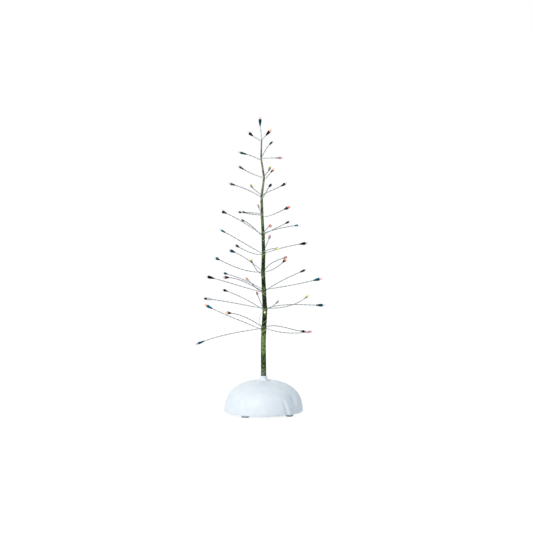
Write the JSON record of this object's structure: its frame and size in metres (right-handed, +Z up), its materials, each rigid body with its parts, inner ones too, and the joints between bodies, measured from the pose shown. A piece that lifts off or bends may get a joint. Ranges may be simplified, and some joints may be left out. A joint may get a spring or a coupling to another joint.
{
  "type": "lighted miniature tree",
  "caption": "Lighted miniature tree: bare wire branches tipped with small coloured lamps on a taped stem, standing in a snow-mound battery base with a hinged door.",
  "frame": {"origin": "on the trunk's axis, at the floor under the four foot pads", "axes": "+Z up along the trunk, -Y towards the pictured side, +X to its right"},
  "size_m": [0.131, 0.0993, 0.2995],
  "materials": {
    "snow_plastic": "satin, moulded",
    "plate_plastic": "fine spark-eroded texture",
    "foot_rubber": "matt",
    "screw_steel": "zinc plated",
    "cell_jacket": "printed film jacket",
    "contact_steel": "nickel plated",
    "switch_plastic": "moulded",
    "pin_brass": "plain",
    "slider_plastic": "moulded",
    "red_insulation": "extruded",
    "black_insulation": "extruded",
    "rod_steel": "annealed wire",
    "pair_insulation": "enamelled twisted pair",
    "green_tape": "wound crepe tape",
    "glue": "hot-melt",
    "sleeve_black": "shrunk tube",
    "sleeve_teal": "shrunk tube",
    "sleeve_pale": "shrunk tube",
    "lamp_pink": "dipped",
    "lamp_red": "dipped",
    "lamp_orange": "dipped",
    "lamp_yellow": "dipped",
    "lamp_clear": "plain",
    "lamp_green": "dipped"
  },
  "bodies": {
    "tree": {"base_shell": "snow_plastic", "base_plate": "plate_plastic", "foot_pads": "foot_rubber", "case_screws": "screw_steel", "battery_front": "cell_jacket", "battery_rear": "cell_jacket", "bridge_contact": "contact_steel", "positive_contact": "contact_steel", "negative_contact": "contact_steel", "contact_springs": "contact_steel", "switch_body": "switch_plastic", "switch_pins": "pin_brass", "red_lead": "red_insulation", "black_lead": "black_insulation", "lamp_lead": "red_insulation", "stem_rod": "rod_steel", "lead_bundle": "pair_insulation", "stem_tape": "green_tape", "stem_glue": "glue", "tier_1_wires": "pair_insulation", "tier_2_wires": "pair_insulation", "tier_3_wires": "pair_insulation", "tier_4_wires": "pair_insulation", "tier_5_wires": "pair_insulation", "tier_6_wires": "pair_insulation", "tier_7_wires": "pair_insulation", "tier_8_wires": "pair_insulation", "tier_9_wires": "pair_insulation", "tier_10_wires": "pair_insulation", "tier_11_wires": "pair_insulation", "sleeves_black": "sleeve_black", "sleeves_teal": "sleeve_teal", "sleeves_pale": "sleeve_pale", "lamps_pink": "lamp_pink", "lamps_red": "lamp_red", "lamps_orange": "lamp_orange", "lamps_yellow": "lamp_yellow", "lamps_clear": "lamp_clear", "lamps_green": "lamp_green"},
    "door": {"battery_door": "plate_plastic"},
    "slider": {"switch_slider": "slider_plastic"}
  },
  "joints": [
    {"name": "door_hinge", "type": "hinge", "parent": "tree", "child": "door", "pos_m": [0.02432, 0.00429, 0.0046], "axis": [0.1736, -0.9848, 0], "range_deg": [0, 90]},
    {"name": "switch_slide", "type": "slide", "parent": "tree", "child": "slider", "axis": [0.9848, 0.1736, 0], "range_m": [0, 0.003]}
  ]
}
